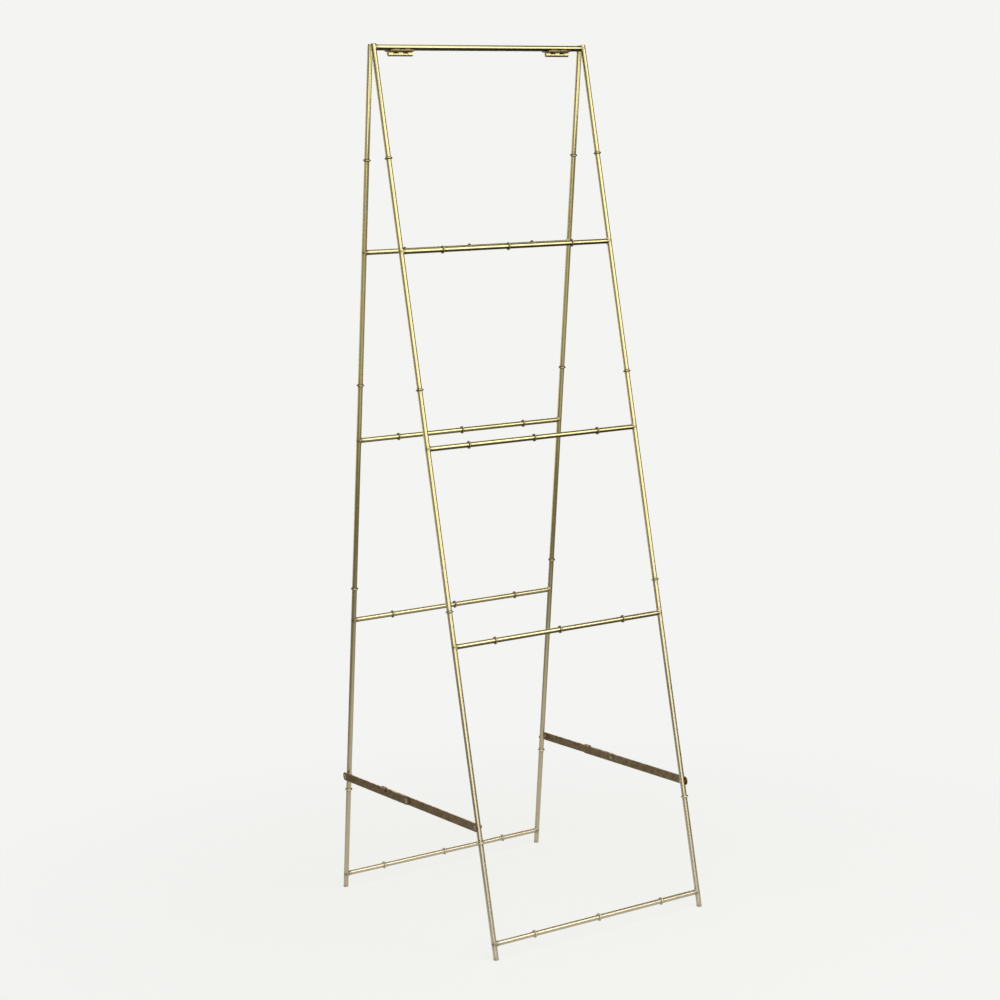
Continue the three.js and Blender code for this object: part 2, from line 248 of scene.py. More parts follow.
def piece(name, shapes, material, body, replaced=(), bevel=0.0):
    """One object from one or more shapes, smooth except at its sharp edges."""
    bm = bmesh.new()
    layer = bm.verts.layers.float.new("wear_and_shade")
    for shape in shapes:
        verts = [bm.verts.new(p) for p in shape.points]
        for vert, value in zip(verts, shape.wear_and_shade):
            vert[layer] = value
        for face in shape.faces:
            bm.faces.new([verts[i] for i in face])
    bmesh.ops.remove_doubles(bm, verts=bm.verts, dist=1e-7)
    bmesh.ops.recalc_face_normals(bm, faces=bm.faces)
    mesh = bpy.data.meshes.new(name)
    bm.to_mesh(mesh)
    bm.free()
    mesh.shade_smooth()
    mesh.set_sharp_from_angle(angle=SHARP_ANGLE)
    mesh.materials.append(material)
    made = bpy.data.objects.new(name, mesh)
    bpy.context.scene.collection.objects.link(made)
    if bevel:
        round_edges(made, "edge_rounding", bevel, SHARP_ANGLE, harden=True)
    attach(made, body)
    if replaced:
        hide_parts(*replaced)
    return made


# ---------------------------------------------------------------- materials

def new_material(name):
    material = bpy.data.materials.new(name)
    material.use_nodes = True
    nodes = material.node_tree.nodes
    return material, nodes, material.node_tree.links, nodes["Principled BSDF"]


def noise_node(nodes, links, coords, stretch, scale, detail=4.0):
    """Noise over the object's own coordinates, in features per metre, stretched by axis."""
    mapping = nodes.new("ShaderNodeMapping")
    mapping.inputs["Scale"].default_value = stretch
    links.new(coords, mapping.inputs["Vector"])
    texture = nodes.new("ShaderNodeTexNoise")
    texture.inputs["Scale"].default_value = scale
    texture.inputs["Detail"].default_value = detail
    links.new(mapping.outputs["Vector"], texture.inputs["Vector"])
    return texture.outputs["Fac"]


def map_range(nodes, links, value, source, target):
    node = nodes.new("ShaderNodeMapRange")
    node.inputs["From Min"].default_value = source[0]
    node.inputs["From Max"].default_value = source[1]
    node.inputs["To Min"].default_value = target[0]
    node.inputs["To Max"].default_value = target[1]
    links.new(value, node.inputs["Value"])
    return node.outputs["Result"]


def combine(nodes, links, operation, first, second):
    node = nodes.new("ShaderNodeMath")
    node.operation = operation
    links.new(first, node.inputs[0])
    links.new(second, node.inputs[1])
    return node.outputs["Value"]


def height_of(nodes, links, coords):
    split = nodes.new("ShaderNodeSeparateXYZ")
    links.new(coords, split.inputs["Vector"])
    return split.outputs["Z"]


def blend_colours(nodes, links, factor, first, second):
    """Mixes two colours, each a tuple or a socket, by a varying factor."""
    mix = nodes.new("ShaderNodeMix")
    mix.data_type = "RGBA"
    links.new(factor, mix.inputs["Factor"])
    for value, socket in ((first, mix.inputs[6]), (second, mix.inputs[7])):
        if isinstance(value, tuple):
            socket.default_value = (*value, 1)
        else:
            links.new(value, socket)
    return mix.outputs[2]


def bump(nodes, links, heights, principled):
    """Stacks (height socket, distance in metres) pairs into the shader's normal."""
    normal = None
    for height, distance in heights:
        node = nodes.new("ShaderNodeBump")
        node.inputs["Distance"].default_value = distance
        links.new(height, node.inputs["Height"])
        if normal:
            links.new(normal, node.inputs["Normal"])
        normal = node.outputs["Normal"]
    links.new(normal, principled.inputs["Normal"])


def brass(name, high, low, tarnish_and_shade, bright, roughness, grain):
    """Satin brass: yellower high up and paler at the feet, the paler feet a painted reflection of
    the pale floor; tarnished in corners, with painted shade on rail undersides and ring flanks;
    bright on crests, partly a painted highlight.

    roughness is (at the feet, high up). grain stretches the polishing lines, which run across the
    axis that has the largest number."""
    material, nodes, links, principled = new_material(name)
    coords = nodes.new("ShaderNodeTexCoord").outputs["Object"]
    # Painted reflection: the colour runs from the pale low colour at the feet, standing for the
    # floor's reflection, to the high colour up top.
    height = map_range(nodes, links, height_of(nodes, links, coords), (0.1, 0.8), (0, 1))
    cloud = noise_node(nodes, links, coords, (1, 1, 1), 28)
    patches = map_range(nodes, links, cloud, (0.3, 0.7), (-0.18, 0.18))
    height_and_patches = combine(nodes, links, "ADD", height, patches)
    colour = blend_colours(nodes, links, height_and_patches, low, high)

    speckle = noise_node(nodes, links, coords, (1, 1, 1), 160, 6)
    spots = map_range(nodes, links, speckle, (0.62, 0.8), (0, 0.3))
    colour = blend_colours(nodes, links, spots, colour, tarnish_and_shade)

    wear_and_shade = nodes.new("ShaderNodeAttribute")
    wear_and_shade.attribute_name = "wear_and_shade"
    # Negative wear values darken towards the tarnish colour: tarnish at welds, caps and corners,
    # and painted shade on rail undersides and ring flanks. Positive values brighten: rubbing, and
    # partly a painted highlight on ring crests.
    tarnish_and_shade_mask = map_range(nodes, links, wear_and_shade.outputs["Fac"], (0, -1), (0, 1))
    brightened = map_range(nodes, links, wear_and_shade.outputs["Fac"], (0, 1), (0, 1))
    colour = blend_colours(nodes, links, tarnish_and_shade_mask, colour, tarnish_and_shade)
    colour = blend_colours(nodes, links, brightened, colour, bright)
    links.new(colour, principled.inputs["Base Color"])

    lines = noise_node(nodes, links, coords, grain, 3600, 2)
    by_height = map_range(nodes, links, height_and_patches, (0, 1), roughness)
    by_line = map_range(nodes, links, lines, (0.3, 0.7), (-0.03, 0.03))
    by_wear = map_range(nodes, links, wear_and_shade.outputs["Fac"], (-1, 1), (0.12, -0.12))
    rough = combine(nodes, links, "ADD", by_height, by_line)
    rough = combine(nodes, links, "ADD", rough, by_wear)
    links.new(rough, principled.inputs["Roughness"])
    principled.inputs["Metallic"].default_value = 1
    waves = noise_node(nodes, links, coords, (1, 1, 1), 40, 1)
    bump(nodes, links, [(waves, 0.06 * MM), (lines, 0.0008 * MM)], principled)
    return material


def bronze(name, dark, mid, edge_colour, middle_height, half_width):
    """Dark flat bar with mill scale, brushed along Y, rubbed brighter along its long edges."""
    material, nodes, links, principled = new_material(name)
    coords = nodes.new("ShaderNodeTexCoord").outputs["Object"]
    cloud = noise_node(nodes, links, coords, (1, 0.7, 1), 130, 6)
    streaks = noise_node(nodes, links, coords, (1, 0.05, 1), 2600, 2)
    clouded = map_range(nodes, links, cloud, (0.35, 0.65), (0, 1))
    colour = blend_colours(nodes, links, clouded, dark, mid)
    streaked = map_range(nodes, links, streaks, (0.5, 0.8), (0, 0.22))
    colour = blend_colours(nodes, links, streaked, colour, edge_colour)

    offset = nodes.new("ShaderNodeMath")
    offset.operation = "SUBTRACT"
    links.new(height_of(nodes, links, coords), offset.inputs[0])
    offset.inputs[1].default_value = middle_height
    distance = nodes.new("ShaderNodeMath")
    distance.operation = "ABSOLUTE"
    links.new(offset.outputs["Value"], distance.inputs[0])
    edge_band = (half_width - 0.9 * MM, half_width)
    edge = map_range(nodes, links, distance.outputs["Value"], edge_band, (0, 0.8))
    patches = map_range(nodes, links, cloud, (0.4, 0.6), (0.2, 1))
    brightened = combine(nodes, links, "MULTIPLY", edge, patches)
    colour = blend_colours(nodes, links, brightened, colour, edge_colour)
    links.new(colour, principled.inputs["Base Color"])
    rough = map_range(nodes, links, cloud, (0.3, 0.7), (0.52, 0.36))
    links.new(rough, principled.inputs["Roughness"])
    principled.inputs["Metallic"].default_value = 1
    pits = noise_node(nodes, links, coords, (1, 1, 1), 700, 4)
    bump(nodes, links, [(pits, 0.05 * MM), (streaks, 0.015 * MM)], principled)
    return material


def rivet_metal(name, clean, stained):
    """Plated steel with a little staining and hammer marks."""
    material, nodes, links, principled = new_material(name)
    coords = nodes.new("ShaderNodeTexCoord").outputs["Object"]
    cloud = noise_node(nodes, links, coords, (1, 1, 1), 260, 4)
    stains = map_range(nodes, links, cloud, (0.45, 0.7), (0, 1))
    links.new(blend_colours(nodes, links, stains, clean, stained), principled.inputs["Base Color"])
    rough = map_range(nodes, links, cloud, (0.3, 0.7), (0.24, 0.42))
    links.new(rough, principled.inputs["Roughness"])
    principled.inputs["Metallic"].default_value = 1
    bump(nodes, links, [(cloud, 0.08 * MM)], principled)
    return material


def nylon(name, light, scuffed):
    """Moulded glide in the tube's colour, scuffed where it meets the floor."""
    material, nodes, links, principled = new_material(name)
    coords = nodes.new("ShaderNodeTexCoord").outputs["Object"]
    low = map_range(nodes, links, height_of(nodes, links, coords), (2.5 * MM, 0.0), (0, 0.7))
    grains = noise_node(nodes, links, coords, (1, 1, 1), 1100, 4)
    patches = map_range(nodes, links, grains, (0.35, 0.65), (0.3, 1))
    scuffs = combine(nodes, links, "MULTIPLY", low, patches)
    links.new(blend_colours(nodes, links, scuffs, light, scuffed), principled.inputs["Base Color"])
    rough = map_range(nodes, links, grains, (0.3, 0.7), (0.42, 0.6))
    links.new(rough, principled.inputs["Roughness"])
    bump(nodes, links, [(grains, 0.02 * MM)], principled)
    return material


GOLD = (0.68, 0.605, 0.29)
# The colour at the feet: brass paled by a painted reflection of the pale floor.
PALE_FLOOR_REFLECTION = (0.79, 0.70, 0.505)
TARNISH_AND_SHADE = (0.11, 0.082, 0.04)
BRIGHT = (0.90, 0.82, 0.52)
LEG_BRASS = brass("leg_brass", GOLD, PALE_FLOOR_REFLECTION, TARNISH_AND_SHADE, BRIGHT, (0.3, 0.17), (0.03, 0.03, 1))
RAIL_BRASS = brass("rail_brass", GOLD, PALE_FLOOR_REFLECTION, TARNISH_AND_SHADE, BRIGHT, (0.3, 0.17), (1, 0.03, 0.03))
# Rings are darker than the tubes high up, partly painted shade, and pale at the feet from the
# painted floor reflection.
RING_BRASS = brass(
    "ring_brass", (0.42, 0.36, 0.17), PALE_FLOOR_REFLECTION, TARNISH_AND_SHADE, BRIGHT, (0.36, 0.18), (1, 1, 1))
WELD_BRASS = brass(
    "weld_brass", (0.60, 0.51, 0.25), (0.62, 0.54, 0.37), TARNISH_AND_SHADE, BRIGHT, (0.42, 0.34), (1, 1, 1))
HINGE_BRASS = brass(
    "hinge_brass", (0.60, 0.50, 0.23), PALE_FLOOR_REFLECTION, TARNISH_AND_SHADE, BRIGHT, (0.3, 0.26), (1, 0.05, 0.05))
RIVET_STEEL = rivet_metal("rivet_steel", (0.62, 0.56, 0.42), (0.33, 0.26, 0.16))
NYLON = nylon("glide_nylon", (0.5, 0.44, 0.29), (0.16, 0.14, 0.11))


# ---------------------------------------------------------------- legs, caps and glides

TUBE_RADIUS = (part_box("front_left_leg")[1].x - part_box("front_left_leg")[0].x) / 2


def corner_wear(height, corners):
    """Tarnish that fades out within a few millimetres of a ring or a rail."""
    nearest = min(abs(height - c) for c in corners)
    return -0.75 * math.exp(-nearest / CORNER_TARNISH)


def leg(frame_name, side_name, axes):
    node = f"{frame_name}_{side_name}_leg"
    low, high = node_box(node, axes)
    corners = [node_middle(f"{node}_ring_{i}", axes).z for i in range(1, 5)]
    corners += [node_middle(f"{frame_name}_{place}_rail", axes).z for place in HANGING]
    steps = [s * MM for s in (-14, -7, -4.5, -3, -1.5, 0, 1.5, 3, 4.5, 7, 14)]
    heights = sorted(c + s for c in corners for s in steps if low.z < c + s < high.z)
    bore = TUBE_RADIUS - TUBE_WALL
    edge = TUBE_END_ROUNDING
    profile = [(bore, high.z), (bore, low.z)]
    profile += arc((TUBE_RADIUS - edge, low.z + edge), edge, -90, 0, 4)
    profile += [(TUBE_RADIUS, h) for h in heights]
    profile += arc((TUBE_RADIUS - edge, high.z - edge), edge, 0, 90, 4)
    wear_and_shade = [corner_wear(h, corners) for _, h in profile]
    middle = (low + high) / 2
    place = axes @ Matrix.Translation((middle.x, middle.y, 0))
    tube = lathe(profile, wear_and_shade=wear_and_shade).placed(place)
    piece(f"{node}_tube", [tube], LEG_BRASS, f"{frame_name}_frame", [node])


def top_cap(frame_name, side_name, axes):
    node = f"{frame_name}_{side_name}_top_cap"
    low, high = node_box(node, axes)
    seat = node_box(f"{frame_name}_{side_name}_leg", axes)[1].z
    bore = TUBE_RADIUS - TUBE_WALL
    rim = seat + CAP_GAP
    profile = [(0, low.z), (bore, low.z), (bore, rim)]
    profile += arc((TUBE_RADIUS - CAP_EDGE, rim + CAP_EDGE), CAP_EDGE, -90, 25, 5)
    start_radius, start_height = profile[-1]
    steps = 8
    for i in range(1, steps + 1):
        turn = i / steps * math.pi / 2
        rise = (high.z - start_height) * math.sin(turn)
        profile.append((start_radius * math.cos(turn), start_height + rise))
    middle = (low + high) / 2
    wear_and_shade = [0.25 if h > seat + CAP_EDGE else -0.5 for _, h in profile]
    cap = lathe(profile, wear_and_shade=wear_and_shade, loop=False)
    cap = cap.placed(axes @ Matrix.Translation((middle.x, middle.y, 0)))
    piece(f"{node}_domed", [cap], LEG_BRASS, f"{frame_name}_frame", [node])


def foot_glide(frame_name, side_name, axes):
    """A moulded plug cut level with the floor, its foot edge rounded."""
    node = f"{frame_name}_{side_name}_foot_glide"
    low, high = node_box(node, axes)
    seat = node_box(f"{frame_name}_{side_name}_leg", axes)[0].z - GLIDE_GAP
    bore = TUBE_RADIUS - TUBE_WALL
    profile = [(0, low.z - TUBE_RADIUS), (TUBE_RADIUS, low.z - TUBE_RADIUS)]
    profile += arc((TUBE_RADIUS - GLIDE_EDGE, seat - GLIDE_EDGE), GLIDE_EDGE, 0, 90, 4)
    profile += [(bore, seat), (bore, high.z), (0, high.z)]
    middle = node_middle(f"{frame_name}_{side_name}_leg", axes)
    plug = lathe(profile, loop=False).placed(axes @ Matrix.Translation((middle.x, middle.y, 0)))
    made = piece(f"{node}_moulded", [plug], NYLON, f"{frame_name}_frame", [node])
    bm = bmesh.new()
    bm.from_mesh(made.data)
    geometry = bm.verts[:] + bm.edges[:] + bm.faces[:]
    cut = bmesh.ops.bisect_plane(
        bm, geom=geometry, plane_co=(0, 0, 0), plane_no=(0, 0, -1), clear_outer=True)
    rim = [e for e in cut["geom_cut"] if isinstance(e, bmesh.types.BMEdge)]
    bmesh.ops.contextual_create(bm, geom=rim)
    bmesh.ops.recalc_face_normals(bm, faces=bm.faces)
    bm.to_mesh(made.data)
    bm.free()
    made.data.shade_smooth()
    made.data.set_sharp_from_angle(angle=SHARP_ANGLE)
    round_edges(made, "foot_rounding", GLIDE_FOOT_ROUNDING, math.radians(50))


# ---------------------------------------------------------------- rings and rails

def height_share(height):
    """0 near the floor, where rings and rails get the least painted shade, to 1 from knee height
    up, where they get the most.
    """
    return min(1, max(0, (height - LEAST_SHADE_BELOW) / (FULL_SHADE_ABOVE - LEAST_SHADE_BELOW)))


def ring_profile(outer, above_floor):
    """A half-round ring with a small braze fillet at each foot, as (radius, height) and wear
    values: dark flanks with painted shade that grows with height, and a bright crest that is partly
    a painted highlight.
    """
    half = RING_WIDTH / 2
    foot = TUBE_RADIUS
    shoulder = foot + RING_SIDE_HEIGHT
    crown = outer - shoulder
    sunk = foot - RING_SUNK
    rising = [(sunk, -half - RING_BRAZE), (foot, -half - RING_BRAZE)]
    rising += arc((foot + RING_BRAZE, -half - RING_BRAZE), RING_BRAZE, 180, 90, 4)[1:]
    rising = [(r, h) for r, h in rising if r <= shoulder]
    dome = [(shoulder + crown * math.sin(math.radians(a)), -half * math.cos(math.radians(a)))
            for a in range(0, 91, 10)]
    lower = rising + dome
    profile = lower + [(r, -h) for r, h in reversed(lower[:-1])]
    # Painted shade on the ring: the flanks darker, the more so the higher the ring stands; the
    # crest brighter, partly a painted highlight.
    ring_shade = 0.4 + 0.55 * height_share(above_floor)
    wear_and_shade = [-ring_shade + 1.25 * min(1, max(0, (r - foot) / (outer - foot))) ** 2 for r, _ in profile]
    return profile, wear_and_shade


def leg_ring(node, body, axes):
    low, high = node_box(node, axes)
    middle = (low + high) / 2
    profile, wear_and_shade = ring_profile((high.x - low.x) / 2, (axes @ middle).z)
    ring = lathe(profile, wear_and_shade=wear_and_shade).placed(axes @ Matrix.Translation(middle))
    piece(f"{node}_crested", [ring], RING_BRASS, body, [node])


def rail_ring_places(node, axes):
    """Rail rings sit where the CAD rail is thicker than its tube: their X middles."""
    inverse = axes.inverted()
    middle = node_middle(node, axes)
    xs = []
    for v in frame["nodes"][node].data.vertices:
        p = inverse @ v.co
        if math.hypot(p.y - middle.y, p.z - middle.z) > TUBE_RADIUS + MM:
            xs.append(p.x)
    groups = []
    for x in sorted(xs):
        if groups and x - groups[-1][-1] < 2 * RING_WIDTH:
            groups[-1].append(x)
        else:
            groups.append([x])
    return [(g[0] + g[-1]) / 2 for g in groups]


def rail(frame_name, place_name, axes, leg_x):
    """A tube between the legs whose ends follow the legs' round faces, and its rings."""
    node = f"{frame_name}_{place_name}_rail"
    body = f"{frame_name}_frame"
    low, high = node_box(node, axes)
    middle = (low + high) / 2
    rings = rail_ring_places(node, axes)
    corners = rings + [-leg_x + TUBE_RADIUS, leg_x - TUBE_RADIUS]
    steps = [s * MM for s in (-12, -6, -3.5, -2, 0, 2, 3.5, 6, 12)]
    limit = leg_x - 2 * TUBE_RADIUS
    inner = sorted(c + s for c in corners for s in steps if abs(c + s) < limit)
    turns = [2 * math.pi * i / ROUND for i in range(ROUND)]

    def row(x_at):
        """A ring of points whose X is worked out from the sine of their turn."""
        return [Vector((x_at(math.sin(a)), TUBE_RADIUS * math.sin(a), TUBE_RADIUS * math.cos(a)))
                for a in turns]

    def saddle(side):
        """X where the rail's skin meets the leg's."""
        reach = leg_x + RAIL_INTO_LEG
        return lambda sine: side * (reach - TUBE_RADIUS * math.sqrt(max(0.0, 1 - sine * sine)))

    rows = [row(saddle(-1)), *(row(lambda _, x=x: x) for x in inner), row(saddle(1))]
    wear_and_shade = [corner_wear(x, corners) for x in [corners[-2], *inner, corners[-1]]]
    place = axes @ Matrix.Translation((0, middle.y, middle.z))
    tube = skin(rows, wear_and_shade, ends=True).placed(place)
    above_floor = place.translation.z
    # Painted shade: the rail's underside is darkened, in full from knee height up and not at all
    # near the floor.
    underside_shade = -0.95 * height_share(above_floor)
    shade_round_rail = [underside_shade * min(1, max(0, -math.cos(a) - 0.1) / 0.45) for a in turns]
    tube.wear_and_shade = [max(-1, w + shade_round_rail[i % ROUND]) for i, w in enumerate(tube.wear_and_shade)]
    piece(f"{node}_tube", [tube], RAIL_BRASS, body, [node])
    outer = (high.z - low.z) / 2
    for i, x in enumerate(rings):
        profile, ring_wear = ring_profile(outer, above_floor)
        ring_place = place @ Matrix.Translation((x, 0, 0)) @ ALONG_X
        ring = lathe(profile, wear_and_shade=ring_wear).placed(ring_place)
        piece(f"{node}_ring_{i + 1}", [ring], RING_BRASS, body)


# ---------------------------------------------------------------- weld beads

def weld(side, seed):
    """A fillet bead around a rail where it meets a leg. Its origin is where their axes cross."""
    count = 96
    steps = 6
    rows = []
    for i in range(count):
        turn = 2 * math.pi * i / count
        sine, cosine = math.sin(turn), math.cos(turn)
        rough = noise.noise(Vector((2 * sine + seed, 2 * cosine, 0.3)))
        size = WELD_LEG * (1 + 0.3 * rough)
        crown = WELD_CROWN * (1 + 0.6 * rough + 0.45 * math.cos(2 * WELD_RIPPLES * turn))
        out = TUBE_RADIUS * math.sqrt(max(0.0, 1 - sine * sine))
        root = Vector((out, TUBE_RADIUS * sine, TUBE_RADIUS * cosine))
        on_rail = root + Vector((size, 0, 0))
        reach = TUBE_RADIUS + size
        across = max(-TUBE_RADIUS, min(TUBE_RADIUS, reach * sine))
        out_there = math.sqrt(max(0.0, TUBE_RADIUS ** 2 - across ** 2))
        on_leg = Vector((out_there, across, reach * cosine))
        rail_normal = Vector((0, sine, cosine))
        leg_normal = Vector((out, TUBE_RADIUS * sine, 0)) / TUBE_RADIUS
        normal = (rail_normal + leg_normal).normalized()
        row = []
        for k in range(steps + 1):
            t = k / steps
            p = on_rail * (1 - t) ** 2 + root * (2 * t * (1 - t)) + on_leg * t ** 2
            lift = crown * math.sin(math.pi * t) - WELD_TOE_SUNK * abs(1 - 2 * t)
            row.append(p + normal * lift)
        row.append(root - normal * WELD_DEPTH)
        rows.append(row)
    shape = skin(rows, loop=True)
    profile_wear = [-0.7, -0.2, 0.15, 0.3, 0.15, -0.2, -0.7, -1.0]
    shape.wear_and_shade = profile_wear * count
    inward = Matrix.Diagonal((-side, 1, 1, 1))
    return shape.placed(inward)


def rail_welds(frame_name, axes, leg_x):
    shapes = []
    for r, place_name in enumerate(("top", *HANGING)):
        middle = node_middle(f"{frame_name}_{place_name}_rail", axes)
        for _, side in SIDES:
            place = axes @ Matrix.Translation((side * leg_x, middle.y, middle.z))
            shapes.append(weld(side, 7.3 * r + side).placed(place))
    piece(f"{frame_name}_rail_welds", shapes, WELD_BRASS, f"{frame_name}_frame")


# ---------------------------------------------------------------- hinges

def leaf_roll(barrel, thickness, sheet_middle, plate_edge):
    """A sheet that leaves the leaf's plate, turns down and curls around the pin, as (y, z)."""
    half = thickness / 2
    curl = barrel - half
    bend = half + LEAF_BEND
    path = [(plate_edge, sheet_middle, 0, 1)]
    for a in range(90, 181, 15):
        c, s = math.cos(math.radians(a)), math.sin(math.radians(a))
        path.append((curl + bend + bend * c, sheet_middle - bend + bend * s, c, s))
    for a in range(0, -286, -15):
        c, s = math.cos(math.radians(a)), math.sin(math.radians(a))
        path.append((curl * c, curl * s, -c, -s))
    near = [(y + ny * half, z + nz * half) for y, z, ny, nz in path]
    far = [(y - ny * half, z - nz * half) for y, z, ny, nz in path]
    return near + far[::-1]


def rounded_corners(low_x, high_x, inner_y, outer_y, radius):
    """A leaf's plan: square at its knuckles, rounded at its outer corners, as (x, y)."""
    outline = [(low_x, inner_y)]
    outline += arc((low_x + radius, outer_y - radius), radius, 180, 90, 5)
    outline += arc((high_x - radius, outer_y - radius), radius, 90, 0, 5)
    return outline + [(high_x, inner_y)]


def hinge_leaf(side_name, frame_name, sign, axes):
    """A plate under the top rail that rolls into every second knuckle."""
    node = f"{side_name}_hinge_{frame_name}_leaf"
    low, high = node_box(node, axes)
    barrel = -low.z
    thickness = high.z - barrel
    outer = max(abs(low.y), abs(high.y))
    plate_edge = barrel + KNUCKLE_CLEARANCE
    plan = rounded_corners(low.x, high.x, plate_edge, outer, LEAF_CORNER)
    shapes = [slab(plan, barrel, high.z).placed(PLAN_TO_FLAT)]
    section = leaf_roll(barrel, thickness, (barrel + high.z) / 2, plate_edge)
    pitch = (high.x - low.x) / KNUCKLES
    for i in range(0 if sign < 0 else 1, KNUCKLES, 2):
        start = low.x + i * pitch + KNUCKLE_SPLIT / 2
        shapes.append(slab(section, start, start + pitch - KNUCKLE_SPLIT))
    mirrored = Matrix.Diagonal((1, sign, 1, 1))
    leaf = united(shapes).placed(mirrored)
    # The plate and the top of the curl, above 0.8 of the barrel's radius, are dark; the barrel is a
    # little brighter.
    leaf.wear_and_shade = [0.15 if p.z < barrel * 0.8 else -0.8 for p in leaf.points]
    piece(f"{node}_rolled", [leaf.placed(axes)], HINGE_BRASS, body_of(node), [node],
          bevel=LEAF_EDGE_ROUNDING)


def leaf_welds(side_name, frame_name, axes):
    """Four short beads that hold a leaf to the tube above it."""
    leaf_low, leaf_high = node_box(f"{side_name}_hinge_{frame_name}_leaf", axes)
    rail_middle = node_middle(f"{frame_name}_top_rail", axes)
    shapes = []
    height = leaf_high.z + 0.3 * LEAF_BEAD_RADIUS
    for end in (-1, 1):
        x = (leaf_low.x + leaf_high.x) / 2 + end * ((leaf_high.x - leaf_low.x) / 2 - LEAF_BEAD)
        for offset in (-1, 1):
            y = rail_middle.y + offset * LEAF_BEAD_OFFSET
            place = axes @ Matrix.Translation((x, y, height)) @ ALONG_X
            shapes.append(bead(LEAF_BEAD, LEAF_BEAD_RADIUS, 3.1 * x + offset).placed(place))
    piece(f"{side_name}_hinge_{frame_name}_welds", shapes, WELD_BRASS, f"{frame_name}_frame")


def bead(length, radius, seed):
    """A short straight weld bead along Z, rippled and round at its ends."""
    steps = 40
    rows = []
    for i in range(steps + 1):
        along = -math.cos(math.pi * i / steps)
        swell = math.sqrt(max(0.0, 1 - along ** 6))
        rough = noise.noise(Vector((seed, 4 * along, 1.7)))
        ripple = 1 + 0.06 * math.cos(26 * along) + 0.2 * rough
        rows.append(circle(radius * swell * ripple, along * length / 2, 16))
    return skin(rows, [-0.6] * len(rows))


def hinge_pin(side_name):
    """A pin with a domed head outside each end knuckle."""
    node = f"{side_name}_hinge_pin"
    low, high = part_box(node)
    leaf_low, leaf_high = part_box(f"{side_name}_hinge_front_leaf")
    middle = (low + high) / 2
    head = (high.z - low.z) / 2
    half = (high.x - low.x) / 2
    seat = (leaf_high.x - leaf_low.x) / 2 + PIN_GAP
    end = dome(head, seat, half)
    profile = [(r, -h) for r, h in reversed(end)]
    profile += [(PIN_RADIUS, -seat), (PIN_RADIUS, seat)] + end
    wear_and_shade = [0.5 if abs(h) > seat else -0.6 for _, h in profile]
    pin = lathe(profile, SMALL_ROUND, wear_and_shade, loop=False)
    place = Matrix.Translation(middle) @ ALONG_X
    piece(f"{node}_headed", [pin.placed(place)], HINGE_BRASS, body_of(node), [node])


def dome(radius, face, tip):
    """A round head on a face, with a short straight rim, as (radius, height) out to in."""
    rim = 0.25 * (tip - face)
    rise = tip - face - rim
    sphere = (radius ** 2 + rise ** 2) / (2 * rise)
    spread = math.asin(radius / sphere)
    points = [(radius, face), (radius, face + rim * 0.6)]
    for i in range(1, 9):
        a = spread * (1 - i / 8)
        points.append((sphere * math.sin(a), tip - sphere + sphere * math.cos(a)))
    return points


# ---------------------------------------------------------------- stays

def rounded_start(start, bottom, top):
    """The rounded front end of a bar, from its top edge down to its bottom edge, as (y, z)."""
    r = BAR_END_ROUNDING
    return arc((start + r, top - r), r, 90, 180, 7) + arc((start + r, bottom + r), r, 180, 270, 7)


def rounded_end(end, bottom, top):
    """The rounded rear end of a bar, from its bottom edge up to its top edge, as (y, z)."""
    r = BAR_END_ROUNDING
    return arc((end - r, bottom + r), r, 270, 360, 7) + arc((end - r, top - r), r, 0, 90, 7)


def outward_range(side, low, high):
    """A box's X range as distances from the rack's middle plane."""
    return (low.x, high.x) if side > 0 else (-high.x, -low.x)


def rear_link(side_name):
    node = f"{side_name}_stay_rear_link"
    low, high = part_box(node)
    outline = rounded_start(low.y, low.z, high.z) + rounded_end(high.y, low.z, high.z)
    bar = slab(outline, low.x, high.x)
    piece(f"{node}_bar", [bar], BRONZE, body_of(node), [node], bevel=BAR_EDGE_ROUNDING)


def front_link(side_name, side):
    """A bar whose far end carries a tab bent over the rear link's top edge."""
    node = f"{side_name}_stay_front_link"
    low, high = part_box(node)
    rear_low, rear_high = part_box(f"{side_name}_stay_rear_link")
    inner, hook_out = outward_range(side, low, high)
    thickness = rear_high.x - rear_low.x
    bar_top = rear_high.z
    bend_start = high.z - thickness - STOP_BEND_RADIUS
    tab_start = high.y - STOP_LENGTH

    outline = rounded_start(low.y, low.z, bar_top)
    corner = SQUARE_END_ROUNDING
    outline += arc((high.y - corner, low.z + corner), corner, 270, 360, 4)
    outline += [(high.y, bend_start), (tab_start, bend_start)]
    outline += [(tab_start - STOP_RELIEF, bend_start), (tab_start - STOP_RELIEF, bar_top)]
    bar = slab(outline, inner, inner + thickness)

    tab = stop_tab(inner, thickness, bend_start, hook_out, bar_top, tab_start, high.y)
    link = united([bar, tab]).placed(Matrix.Diagonal((side, 1, 1, 1)))
    piece(f"{node}_bar", [link], BRONZE, body_of(node), [node], bevel=BAR_EDGE_ROUNDING)


